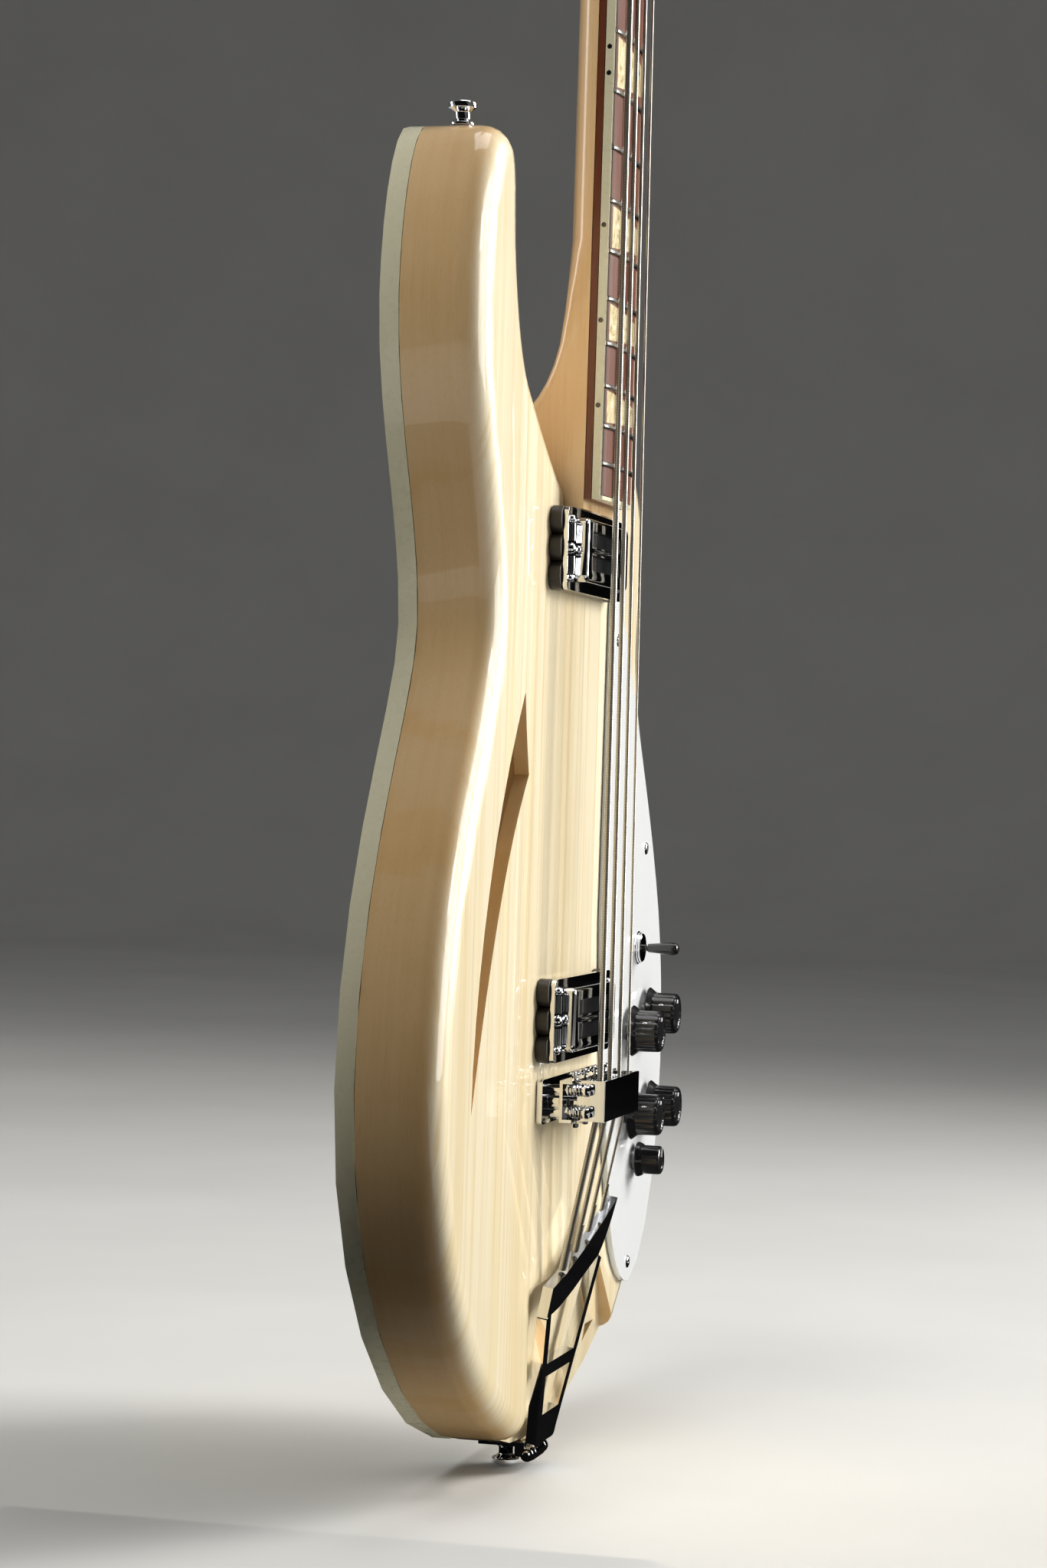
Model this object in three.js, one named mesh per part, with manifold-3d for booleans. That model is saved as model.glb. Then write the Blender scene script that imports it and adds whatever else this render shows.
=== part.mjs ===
// Four-string electric bass guitar with a semi-hollow maple body.
// Millimetres. +Z runs up the neck, the strings face -Y, the bass side is -X.
// The part's origin is the centre of the end strap button's outer face.
// Inside the instrument group, x = y = z = 0 is the middle of the saddle line on the body's top,
// and "rise" is the height in front of that top, so y = -rise.
import * as THREE from "three";
import { mergeVertices } from "three/addons/utils/BufferGeometryUtils.js";
import Module from "manifold-3d";

const wasm = await Module();
wasm.setup();

// ---------------------------------------------------------------- driving dimensions

const GAP = 0.3; // left between pieces that touch
const PAST = 1; // how far a cutting piece runs beyond the face it opens
const FAR = 500; // clear of the whole body

const SCALE = 844.55; // nut to saddle line, 33 1/4 inches
const BOARD_END = 251; // body end of the fretboard
const NUT_HALF = 21.4;
const TWELFTH_HALF = 26.93;

const BODY_HALF_WIDTH = 192;
const BODY_BOTTOM = -147;
const BODY_DEPTH = 42;
const RIM_BACK = 34; // the shell's rim ends here, and the bound back plate begins
const TOP_THICK = 6;
const WALL = 14;
const EDGE_ROUND = 12;
const BLOCK_HALF = 50; // half width of the solid centre block
const CHAMBER_TOP = 320; // the horn's tip beyond this height is solid
const BINDING = 2.5;
const GUARD_TOP = 2.8; // front of the pickguard

const BOARD_RISE = 15.5; // playing surface at its edges
const CROWN_RADIUS = 254;
const CROWN_HEIGHT = 1.4; // how far the board's middle stands above its edges
const BOARD_BINDING = 1.7;
const BOARD_BACK_RISE = 8.7;
const BINDING_BACK_RISE = 11.8;

const STRING_RISE_BRIDGE = 21.9;
const STRING_RISE_NUT = 19.3;
const STRINGS = [
  { name: "string_e", radius: 1.33, bridgeX: -26.1, nutX: -17.4, anchorZ: -71.7, anchorRise: 7.8 },
  { name: "string_a", radius: 1.08, bridgeX: -8.7, nutX: -5.8, anchorZ: -66, anchorRise: 8.9 },
  { name: "string_d", radius: 0.83, bridgeX: 8.7, nutX: 5.8, anchorZ: -59.4, anchorRise: 10.1 },
  { name: "string_g", radius: 0.57, bridgeX: 26.1, nutX: 17.4, anchorZ: -52.3, anchorRise: 11.4 },
];

const HEAD_RISE = 2; // front face of the headstock
const HEAD_THICK = 13;
const NECK_TOP_RISE = BOARD_BACK_RISE - GAP;
const NECK_DEPTH = 13; // from under the fretboard to the back of the neck
const HEEL_END = 246.9; // the heel's flat end, let into the body
const HEEL_START = 330; // the neck's back swells into the heel below this height
const HEEL_CURVE = 48;
const NECK_SLOT = { half: 29.9, bottom: HEEL_END - GAP, top: 320 };
const TENON = { half: 20, rise: -7.5, end: 200 };
const ROD_RADIUS = 3;
const ROD_SLOT_HALF = 3.5;
const NUT_THICK = 4.8;
const POSTS = [
  { name: "e", x: -27, z: SCALE + 64 },
  { name: "a", x: -20.5, z: SCALE + 120 },
  { name: "d", x: 20.5, z: SCALE + 120 },
  { name: "g", x: 27, z: SCALE + 64 },
];
const POST_RADIUS = 5;
const POST_HOLE = 6;
const WRAP_RISE = HEAD_RISE + 9.5;

const PICKUP_OPENING = 33; // half width of the openings that the coil stands in
const RECESS_HALF = 12;
const RECESS_DEPTH = 5.7;
const PICKUPS = [
  { name: "neck_pickup", z: 229.3 },
  { name: "bridge_pickup", z: 33.6 },
];
const KNOBS = [
  { name: "neck_volume", x: 107, z: 20.5, small: false },
  { name: "neck_tone", x: 140, z: 27, small: false },
  { name: "bridge_volume", x: 110, z: -17.5, small: false },
  { name: "bridge_tone", x: 147, z: -16.5, small: false },
  { name: "mixer", x: 125, z: -39.5, small: true },
];
const SWITCH = { x: 122, z: 57.7 };
const CONTROL_HOLE = 4.9; // radius of the potentiometers' holes
const SWITCH_HOLE = 6.2;
const SHAFT_RADIUS = 3;
const KNOB_BASE = 4.9; // underside of a knob
const JACK = { y: 24, z: 12, bore: 3.35, barrel: 4.8, hole: 5.1, nut: 6.6 };
const PIN_Y = BODY_DEPTH / 2;
const HORN_PIN = { x: -127, z: 389 };
const PIN_HEIGHT = 9.3;
const BRACKET_THICK = 2;
const END_FACE = BODY_BOTTOM - GAP - BRACKET_THICK - GAP - PIN_HEIGHT;

// ---------------------------------------------------------------- solid helpers

function solid(geometry) {
  const bare = geometry.index ? geometry.toNonIndexed() : geometry.clone();
  bare.deleteAttribute("normal");
  bare.deleteAttribute("uv");
  const merged = mergeVertices(bare, 1e-4);
  return new wasm.Manifold(
    new wasm.Mesh({
      numProp: 3,
      vertProperties: new Float32Array(merged.attributes.position.array),
      triVerts: new Uint32Array(merged.index.array),
    }),
  );
}

function geometryOf(body) {
  const mesh = body.getMesh();
  const geometry = new THREE.BufferGeometry();
  const positions = new Float32Array(mesh.vertProperties);
  geometry.setAttribute("position", new THREE.BufferAttribute(positions, 3));
  geometry.setIndex(new THREE.BufferAttribute(new Uint32Array(mesh.triVerts), 1));
  geometry.computeVertexNormals();
  return geometry;
}

const join = (first, ...rest) =>
  geometryOf(rest.reduce((body, piece) => body.add(solid(piece)), solid(first)));

const cut = (first, ...tools) =>
  geometryOf(tools.reduce((body, tool) => body.subtract(solid(tool)), solid(first)));

const meet = (first, second) => geometryOf(solid(first).intersect(solid(second)));

// A box given by its ranges in x, y and z.
function box([x0, x1], [y0, y1], [z0, z1]) {
  const geometry = new THREE.BoxGeometry(x1 - x0, y1 - y0, z1 - z0);
  return geometry.translate((x0 + x1) / 2, (y0 + y1) / 2, (z0 + z1) / 2);
}

// A box given in x, rise and z.
const riseBox = (xs, [rise0, rise1], zs) => box(xs, [-rise1, -rise0], zs);

// A round bar along one axis, from a to b on that axis; the other two coordinates are given in order.
function bar(axis, radius, a, b, u, v, sides = 20) {
  const geometry = new THREE.CylinderGeometry(radius, radius, Math.abs(b - a), sides);
  const middle = (a + b) / 2;
  if (axis === "x") return geometry.rotateZ(Math.PI / 2).translate(middle, u, v);
  if (axis === "z") return geometry.rotateX(Math.PI / 2).translate(u, v, middle);
  return geometry.translate(u, middle, v);
}

// A flat plate whose outline is drawn in x and z, from rise0 up to rise1.
function plate(shape, rise0, rise1, curveSegments = 8) {
  const settings = { depth: rise1 - rise0, bevelEnabled: false, curveSegments };
  return new THREE.ExtrudeGeometry(shape, settings).rotateX(Math.PI / 2).translate(0, -rise0, 0);
}

// A turned piece on the Y axis. Its profile of [radius, rise] runs from axis to axis, rising.
function turned(profile, sides = 20) {
  const points = profile.map(([radius, rise]) => new THREE.Vector2(radius, rise));
  return new THREE.LatheGeometry(points, sides).rotateX(Math.PI);
}

function polygon(points) {
  return new THREE.Shape(points.map(([x, y]) => new THREE.Vector2(x, y)));
}

function roundedRectangle(halfX, halfZ, radius) {
  const shape = new THREE.Shape();
  const quarter = Math.PI / 2;
  shape.absarc(halfX - radius, halfZ - radius, radius, 0, quarter);
  shape.absarc(-halfX + radius, halfZ - radius, radius, quarter, 2 * quarter);
  shape.absarc(-halfX + radius, -halfZ + radius, radius, 2 * quarter, 3 * quarter);
  shape.absarc(halfX - radius, -halfZ + radius, radius, 3 * quarter, 4 * quarter);
  return shape;
}

// ---------------------------------------------------------------- materials

const finish = (color, roughness, metalness) => () =>
  new THREE.MeshStandardMaterial({ color, roughness, metalness });

const blondeMaple = finish(0xe6cf9c, 0.25, 0);
const neckMaple = finish(0xd19a5b, 0.3, 0);
const redwood = finish(0x7d3b22, 0.5, 0);
const ivory = finish(0xd9d3b4, 0.35, 0);
const chrome = finish(0xd8dadd, 0.08, 1);
const steel = finish(0x9a9c9e, 0.35, 1);
const whitePlastic = finish(0xf4f5f5, 0.25, 0);
const blackPlastic = finish(0x141414, 0.25, 0);
const blackRubber = finish(0x171412, 0.6, 0);
const bone = finish(0xe9e2cb, 0.4, 0);

// ---------------------------------------------------------------- body

// The bass half of the lower bout and the treble half are mirror images, and the horns differ.
function bodyOutline(neckTab) {
  const w = BODY_HALF_WIDTH;
  const bottom = BODY_BOTTOM;
  const shape = new THREE.Shape();
  shape.moveTo(0, bottom);
  shape.bezierCurveTo(-100, bottom, -w, -72, -w, 14);
  shape.bezierCurveTo(-w, 105, -125, 160, -125, 193);
  shape.bezierCurveTo(-125, 235, -163, 270, -163, 318);
  shape.bezierCurveTo(-163, 350, -150, 389, -129, 389);
  shape.bezierCurveTo(-116, 389, -112, 376, -111, 366);
  shape.bezierCurveTo(-110, 358, -109.5, 349, -108, 342);
  shape.bezierCurveTo(-104, 325, -97, 307, -86, 297.5);
  shape.bezierCurveTo(-76, 290.5, -48, 270.5, -29.5, 262);
  if (neckTab) {
    shape.lineTo(-29.5, 300);
    shape.lineTo(29.5, 300);
  }
  shape.lineTo(29.5, 247);
  shape.bezierCurveTo(46, 252, 60, 288, 80, 288);
  shape.bezierCurveTo(104, 288, 129, 265, 129, 238);
  shape.bezierCurveTo(129, 215, 124.5, 210, 124.5, 190);
  shape.bezierCurveTo(124.5, 160, w, 105, w, 14);
  shape.bezierCurveTo(w, -72, 100, bottom, 0, bottom);
  return shape;
}

// The outline's points, moved inwards by a distance.
function insetOutline(distance, segments) {
  const points = bodyOutline(false).getPoints(segments);
  if (points[0].distanceTo(points[points.length - 1]) < 1e-6) points.pop();
  return points.map((point, i) => {
    const before = points[(i + points.length - 1) % points.length];
    const after = points[(i + 1) % points.length];
    const a = point.clone().sub(before).normalize();
    const b = after.clone().sub(point).normalize();
    const middle = a.clone().add(b).normalize();
    const stretch = 1 / Math.max(0.5, a.dot(middle));
    return new THREE.Vector2(middle.y, -middle.x).multiplyScalar(distance * stretch).add(point);
  });
}

function soundhole() {
  const shape = new THREE.Shape();
  shape.moveTo(-83.5, 168.5);
  shape.quadraticCurveTo(-80, 151, -74.5, 135);
  shape.bezierCurveTo(-97, 112, -119, 84, -149, 2);
  shape.bezierCurveTo(-148, 62, -121, 123, -83.5, 168.5);
  return plate(shape, -TOP_THICK - PAST, PAST, 10);
}

// The carved valley that the tailpiece lies in: a slanted floor inside a fixed plan.
function tailValley() {
  const plan = polygon([[-50, -78], [66, -72], [112, -118], [100, -165], [-50, -165]]);
  const floor = polygon([[-72, -1], [-72, 0], [-150, 12.6], [-170, 12.6], [-170, -1]]);
  const wedge = new THREE.ExtrudeGeometry(floor, { depth: 170, bevelEnabled: false });
  wedge.applyMatrix4(
    new THREE.Matrix4().makeBasis(
      new THREE.Vector3(0, 0, 1),
      new THREE.Vector3(0, 1, 0),
      new THREE.Vector3(1, 0, 0),
    ),
  );
  wedge.translate(-55, 0, 0);
  return meet(turnedOut(wedge), plate(plan, -13, 1));
}

// Reverses a geometry that a mirroring matrix has turned inside out.
function turnedOut(geometry) {
  const flat = geometry.index ? geometry.toNonIndexed() : geometry.clone();
  const position = flat.attributes.position;
  for (let i = 0; i < position.count; i += 3) {
    const [x, y, z] = [position.getX(i), position.getY(i), position.getZ(i)];
    position.setXYZ(i, position.getX(i + 1), position.getY(i + 1), position.getZ(i + 1));
    position.setXYZ(i + 1, x, y, z);
  }
  return flat;
}

function chamber(side) {
  const inside = (point) => point.x * side > BLOCK_HALF && point.y < CHAMBER_TOP;
  const points = insetOutline(WALL, 7).filter(inside);
  return plate(new THREE.Shape(points), -RIM_BACK - PAST, -TOP_THICK, 1);
}

const controlHole = (x, z, radius) => bar("y", radius, -PAST, TOP_THICK + PAST, x, z, 12);

const pickupRecess = ({ z }) =>
  box([-PICKUP_OPENING, PICKUP_OPENING], [-PAST, RECESS_DEPTH], [z - RECESS_HALF, z + RECESS_HALF]);

function bodyShell() {
  const depth = RIM_BACK;
  const block = new THREE.ExtrudeGeometry(bodyOutline(true), {
    depth,
    bevelEnabled: true,
    bevelThickness: EDGE_ROUND,
    bevelSize: EDGE_ROUND,
    bevelOffset: -EDGE_ROUND,
    bevelSegments: 5,
    curveSegments: 10,
  });
  block.rotateX(Math.PI / 2).translate(0, depth + EDGE_ROUND, 0);
  const jackX = jackFaceX();
  const tools = [
    box([-FAR, FAR], [RIM_BACK, FAR], [-FAR, FAR]),
    chamber(-1),
    chamber(1),
    soundhole(),
    tailValley(),
    box([-NECK_SLOT.half, NECK_SLOT.half], [-PAST, RIM_BACK + PAST], [NECK_SLOT.bottom, NECK_SLOT.top]),
    box(
      [-TENON.half - GAP, TENON.half + GAP],
      [-TENON.rise - GAP, RIM_BACK + PAST],
      [TENON.end - GAP, HEEL_END + 0.1],
    ),
    box([jackX, FAR], [JACK.y - 9, JACK.y + 9], [JACK.z - 20.5, JACK.z + 20.5]),
    bar("x", JACK.barrel + 0.4, BODY_HALF_WIDTH - 2 * WALL, FAR, JACK.y, JACK.z, 16),
    controlHole(SWITCH.x, SWITCH.z, SWITCH_HOLE),
    ...KNOBS.map((knob) => controlHole(knob.x, knob.z, CONTROL_HOLE)),
    ...PICKUPS.map(pickupRecess),
  ];
  return cut(block, ...tools);
}

function backPanel() {
  return plate(new THREE.Shape(insetOutline(BINDING + GAP, 7)), -BODY_DEPTH, -RIM_BACK - GAP, 1);
}

function backBinding() {
  const layer = (inset, rise0, rise1) =>
    plate(new THREE.Shape(insetOutline(inset, 7)), rise0, rise1, 1);
  return cut(
    layer(0, -BODY_DEPTH, -RIM_BACK - GAP),
    layer(BINDING, -BODY_DEPTH - PAST, -RIM_BACK + PAST),
  );
}

function pickguard() {
  const shape = new THREE.Shape();
  shape.moveTo(56, 211);
  shape.lineTo(53.5, 72);
  shape.bezierCurveTo(57, 20, 68, -25, 84, -68);
  shape.bezierCurveTo(92, -84, 107, -95, 121, -95);
  shape.bezierCurveTo(150, -92, 178, -45, 178, 2);
  shape.bezierCurveTo(178, 40, 170, 64, 158, 87);
  shape.bezierCurveTo(144, 114, 126, 138, 112, 158);
  shape.bezierCurveTo(100, 176, 84, 197, 70, 214);
  shape.quadraticCurveTo(58, 222, 56, 211);
  return cut(
    plate(shape, GAP, GUARD_TOP, 5),
    bar("y", SWITCH_HOLE, -GUARD_TOP - PAST, PAST, SWITCH.x, SWITCH.z, 12),
    ...KNOBS.map((knob) => bar("y", CONTROL_HOLE, -GUARD_TOP - PAST, PAST, knob.x, knob.z, 12)),
  );
}

// ---------------------------------------------------------------- neck

// Half width of the neck and the fretboard at a height above the saddle line.
const neckHalf = (z) => NUT_HALF + ((TWELFTH_HALF - NUT_HALF) * (SCALE - z)) / (SCALE / 2);

// The neck's section is a half superellipse, squarer and deeper at the heel.
function neckSection(z) {
  const heel = THREE.MathUtils.clamp((HEEL_START - z) / HEEL_CURVE, 0, 1);
  const thinned = NECK_DEPTH - (z - HEEL_START) / (SCALE - HEEL_START);
  const heelDepth = RIM_BACK - GAP + NECK_TOP_RISE;
  const curve = 1 - Math.sqrt(Math.max(0, 1 - heel * heel));
  return {
    half: neckHalf(z),
    depth: z > HEEL_START ? thinned : THREE.MathUtils.lerp(NECK_DEPTH, heelDepth, curve),
    power: THREE.MathUtils.lerp(2.3, 9, 1 - THREE.MathUtils.smoothstep(z, 290, 360)),
  };
}

function neckShaft() {
  const stations = [HEEL_END, 283, 285, 289, 294, 300, 307, 316, 330, 345, 360, 440, 560, 700, SCALE + 7];
  const sides = 12;
  const unit = new THREE.Shape();
  unit.moveTo(1, 0);
  for (let i = 1; i <= sides; i++) unit.lineTo(Math.cos((Math.PI * i) / sides), i === sides ? 0 : 1);
  const settings = { depth: 1, steps: stations.length - 1, bevelEnabled: false };
  const geometry = new THREE.ExtrudeGeometry(unit, settings);
  const position = geometry.attributes.position;
  for (let i = 0; i < position.count; i++) {
    const z = stations[Math.round(position.getZ(i) * (stations.length - 1))];
    const { half, depth, power } = neckSection(z);
    const angle = Math.acos(THREE.MathUtils.clamp(position.getX(i), -1, 1));
    const across = Math.sign(Math.cos(angle)) * Math.abs(Math.cos(angle)) ** (2 / power);
    const down = position.getY(i) === 0 ? 0 : Math.sin(angle) ** (2 / power);
    position.setXYZ(i, half * across, -NECK_TOP_RISE + depth * down, z);
  }
  return geometry;
}

function headstockShape() {
  const z = SCALE;
  const shape = new THREE.Shape();
  shape.moveTo(-NUT_HALF, z + 4);
  shape.bezierCurveTo(-24, z + 20, -45, z + 26, -44, z + 52);
  shape.bezierCurveTo(-43, z + 90, -37, z + 110, -36, z + 140);
  shape.bezierCurveTo(-35, z + 160, -20, z + 170, 0, z + 170);
  shape.bezierCurveTo(20, z + 170, 35, z + 160, 36, z + 140);
  shape.bezierCurveTo(37, z + 110, 43, z + 90, 44, z + 52);
  shape.bezierCurveTo(45, z + 26, 24, z + 20, NUT_HALF, z + 4);
  return shape;
}

function neck() {
  const tenon = riseBox(
    [-TENON.half, TENON.half],
    [-RIM_BACK + GAP, TENON.rise],
    [TENON.end, HEEL_END + PAST],
  );
  const head = plate(headstockShape(), HEAD_RISE - HEAD_THICK, HEAD_RISE, 8);
  const body = join(neckShaft(), tenon, head);
  return cut(
    body,
    riseBox([-ROD_SLOT_HALF, ROD_SLOT_HALF], [0.5, NECK_TOP_RISE + PAST], [262, SCALE + 30]),
    riseBox([-6, 6], [-4, NECK_TOP_RISE + PAST], [SCALE + 8, SCALE + 30]),
    ...POSTS.map((post) => bar("y", POST_HOLE, -HEAD_RISE - PAST, HEAD_THICK, post.x, post.z, 12)),
  );
}

// Everything in front of this prism's surface is cut off the board and its binding.
function crownPrism() {
  const half = 34;
  const centreRise = BOARD_RISE + CROWN_HEIGHT - CROWN_RADIUS;
  const reach = Math.asin(half / CROWN_RADIUS);
  const shape = new THREE.Shape();
  shape.moveTo(-half, 0);
  shape.lineTo(half, 0);
  const steps = 8;
  for (let i = 0; i <= steps; i++) {
    const angle = reach - (2 * reach * i) / steps;
    const rise = centreRise + CROWN_RADIUS * Math.cos(angle);
    shape.lineTo(CROWN_RADIUS * Math.sin(angle), -rise);
  }
  const length = SCALE - BOARD_END + 20;
  const settings = { depth: length, bevelEnabled: false };
  return new THREE.ExtrudeGeometry(shape, settings).translate(0, 0, BOARD_END - 10);
}

// The board's plan between two heights, narrowed on each side.
const boardPlan = (z0, z1, narrow) =>
  polygon([
    [-neckHalf(z0) + narrow, z0],
    [neckHalf(z0) - narrow, z0],
    [neckHalf(z1) - narrow, z1],
    [-neckHalf(z1) + narrow, z1],
  ]);

function fretboard() {
  const end = SCALE - GAP;
  const slab = plate(boardPlan(BOARD_END, end, 0), BOARD_BACK_RISE, BINDING_BACK_RISE - GAP);
  const inset = BOARD_BINDING + GAP;
  const inner = plate(boardPlan(BOARD_END + inset, end, inset), BINDING_BACK_RISE - PAST, 20);
  return join(slab, meet(inner, crownPrism()));
}

function neckBinding() {
  const end = SCALE - GAP;
  const ring = cut(
    plate(boardPlan(BOARD_END, end, 0), BINDING_BACK_RISE, 20),
    plate(boardPlan(BOARD_END + BOARD_BINDING, end + 20, BOARD_BINDING), BINDING_BACK_RISE - PAST, 21),
  );
  return meet(ring, crownPrism());
}

function nut() {
  const top = STRING_RISE_NUT + 1;
  const [z0, z1] = [SCALE, SCALE + NUT_THICK];
  const slots = STRINGS.map(({ nutX, radius }) => {
    const room = radius + GAP;
    return riseBox([nutX - room, nutX + room], [STRING_RISE_NUT - room, top + PAST], [z0 - PAST, z1 + PAST]);
  });
  return cut(riseBox([-NUT_HALF, NUT_HALF], [NECK_TOP_RISE + GAP, top], [z0, z1]), ...slots);
}

function trussRod() {
  const y = -NECK_TOP_RISE + ROD_RADIUS + 3 * GAP;
  const rod = bar("z", ROD_RADIUS, 264, SCALE + 14, 0, y, 12);
  return join(rod, bar("z", 4.4, SCALE + 12, SCALE + 24, 0, y, 6));
}

function trussCover() {
  const shape = new THREE.Shape();
  shape.moveTo(-9, SCALE + NUT_THICK + 3.2);
  shape.lineTo(9, SCALE + NUT_THICK + 3.2);
  shape.bezierCurveTo(10, SCALE + 26, 7, SCALE + 42, 0, SCALE + 46);
  shape.bezierCurveTo(-7, SCALE + 42, -10, SCALE + 26, -9, SCALE + NUT_THICK + 3.2);
  return plate(shape, HEAD_RISE + 6.9, HEAD_RISE + 8.4, 6);
}

// ---------------------------------------------------------------- strings

// A route whose steps fall exactly on its points.
class Route extends THREE.Curve {
  constructor(points) {
    super();
    this.points = points;
  }
  getPointAt(u) {
    const place = u * (this.points.length - 1);
    const i = Math.min(Math.floor(place), this.points.length - 2);
    return this.points[i].clone().lerp(this.points[i + 1], place - i);
  }
  getPoint(u) {
    return this.getPointAt(u);
  }
  getTangentAt(u) {
    const step = 0.5 / (this.points.length - 1);
    const ahead = this.getPointAt(Math.min(1, u + step));
    return ahead.sub(this.getPointAt(Math.max(0, u - step))).normalize();
  }
}

// From the tailpiece over the saddle and the nut, then twice down round the tuner post.
function stringRoute({ radius, bridgeX, nutX, anchorZ, anchorRise }, post) {
  const inward = Math.sign(-post.x);
  const reach = POST_RADIUS + radius + GAP;
  const start = new THREE.Vector2(nutX, SCALE + NUT_THICK);
  const centre = new THREE.Vector2(post.x, post.z);
  const away = centre.clone().sub(start);
  const heading = away.angle() - inward * Math.asin(reach / away.length());
  const points = [
    new THREE.Vector3(bridgeX, -anchorRise, anchorZ),
    new THREE.Vector3(bridgeX, -STRING_RISE_BRIDGE, -2),
    new THREE.Vector3(bridgeX, -STRING_RISE_BRIDGE, 2),
    new THREE.Vector3(nutX, -STRING_RISE_NUT, SCALE - 1),
    new THREE.Vector3(nutX, -STRING_RISE_NUT, SCALE + NUT_THICK + 1),
  ];
  const turns = 2;
  const steps = 12 * turns;
  const pitch = 2 * radius + GAP;
  for (let i = 0; i <= steps; i++) {
    const angle = heading - (inward * Math.PI) / 2 + (inward * 2 * Math.PI * turns * i) / steps;
    const rise = WRAP_RISE - (pitch * turns * i) / steps;
    const x = post.x + reach * Math.cos(angle);
    points.push(new THREE.Vector3(x, -rise, post.z + reach * Math.sin(angle)));
  }
  return points;
}

function stringWire(string, post) {
  const points = stringRoute(string, post);
  const section = new THREE.Shape();
  section.absarc(0, 0, string.radius, 0, 2 * Math.PI);
  return new THREE.ExtrudeGeometry(section, {
    steps: points.length - 1,
    extrudePath: new Route(points),
    curveSegments: 4,
    bevelEnabled: false,
  });
}

// ---------------------------------------------------------------- tailpiece

const TAIL_TILT = Math.atan2(15.2, 80.6); // the tailpiece lies in line with the strings behind the bridge
const TAIL_HINGE = { y: 9.6, z: -152.6, radius: 3.2, pin: 1.6 };

// Drawn flat with the hinge on the x axis, then laid back along the strings.
function tailpiece() {
  const thick = 4.4;
  const blade = new THREE.Shape();
  blade.moveTo(-46, 78);
  blade.bezierCurveTo(-25, 80, 20, 96, 45, 107);
  blade.bezierCurveTo(42, 96, 36, 87, 30, 83);
  blade.bezierCurveTo(10, 78, -20, 66, -46, 65);
  blade.closePath();
  const arm = (a, b, half) => {
    const along = new THREE.Vector2(b[0] - a[0], b[1] - a[1]).normalize().multiplyScalar(half);
    return polygon([
      [a[0] + along.y, a[1] - along.x],
      [b[0] + along.y, b[1] - along.x],
      [b[0] - along.y, b[1] + along.x],
      [a[0] - along.y, a[1] + along.x],
    ]);
  };
  const flat = (shape) => plate(shape, 0, thick, 4);
  const frame = join(
    flat(blade),
    flat(arm([-42.5, 66], [-13, 8], 3.5)),
    flat(arm([34, 82], [13, 8], 3.5)),
    flat(arm([-29, 40], [24, 40], 3)),
    flat(roundedRectangle(17, 7, 3)).translate(0, 0, 12),
    bar("x", TAIL_HINGE.radius, -8, 8, -1, 0, 14),
    riseBox([-8, 8], [0, 2.8], [0, 6]),
  );
  const lying = cut(frame, bar("x", TAIL_HINGE.pin + GAP, -20, 20, -1, 0, 12));
  return lying.rotateX(TAIL_TILT).translate(0, TAIL_HINGE.y, TAIL_HINGE.z);
}

function tailBracket() {
  const z1 = BODY_BOTTOM - GAP;
  const foot = box([-13, 13], [12.9, 30], [z1 - BRACKET_THICK, z1]);
  const { y, z } = TAIL_HINGE;
  const knuckle = (x0, x1) => [
    bar("x", 3, x0, x1, y - 1, z, 14),
    box([x0, x1], [y, 14], [z - 1, z1]),
  ];
  const body = join(
    foot,
    ...knuckle(-13, -8.4),
    ...knuckle(8.4, 13),
    bar("x", TAIL_HINGE.pin, -14.5, 14.5, y - 1, z, 12),
  );
  return cut(body, bar("z", 2.6, z1 - 5, z1 + 1, 0, PIN_Y, 12));
}

// ---------------------------------------------------------------- bridge

const CARRIAGE_RISE = 8;
const CARRIAGE_WALL = 13.3;
const CARRIAGE_HALF = 40;
const SADDLE_WIDTH = 8;
const SHEET = 1.3; // thickness of the folded bridge tray
const COVER = { half: 32, top: 25.5, wall: 1.2 };

function bridgeBase() {
  const slab = plate(roundedRectangle(48, 9.3, 1.5), GAP, 2.7, 3);
  const post = (x) => bar("y", 3.2, -CARRIAGE_RISE + GAP, -2, x, 0, 16);
  return join(slab, post(-36), post(36));
}

function bridgeCarriage() {
  const depth = 8.7;
  const walls = [-depth, depth - SHEET].map((z) =>
    riseBox([-CARRIAGE_HALF, CARRIAGE_HALF], [CARRIAGE_RISE, CARRIAGE_WALL], [z, z + SHEET]),
  );
  const floor = plate(roundedRectangle(CARRIAGE_HALF, depth, 1.5), CARRIAGE_RISE, CARRIAGE_RISE + SHEET, 3);
  return join(floor, ...walls);
}

function bridgeCover() {
  const inside = COVER.half - COVER.wall;
  const outer = riseBox([-COVER.half, COVER.half], [CARRIAGE_WALL + GAP, COVER.top], [-8.5, 8.5]);
  const inner = riseBox([-inside, inside], [CARRIAGE_WALL - PAST, COVER.top - COVER.wall], [-10, 10]);
  const sightHole = (z) =>
    riseBox([-COVER.half - PAST, COVER.half + PAST], [CARRIAGE_WALL, 17], [z - 1.6, z + 1.6]);
  return cut(outer, inner, sightHole(-5), sightHole(5));
}

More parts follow.
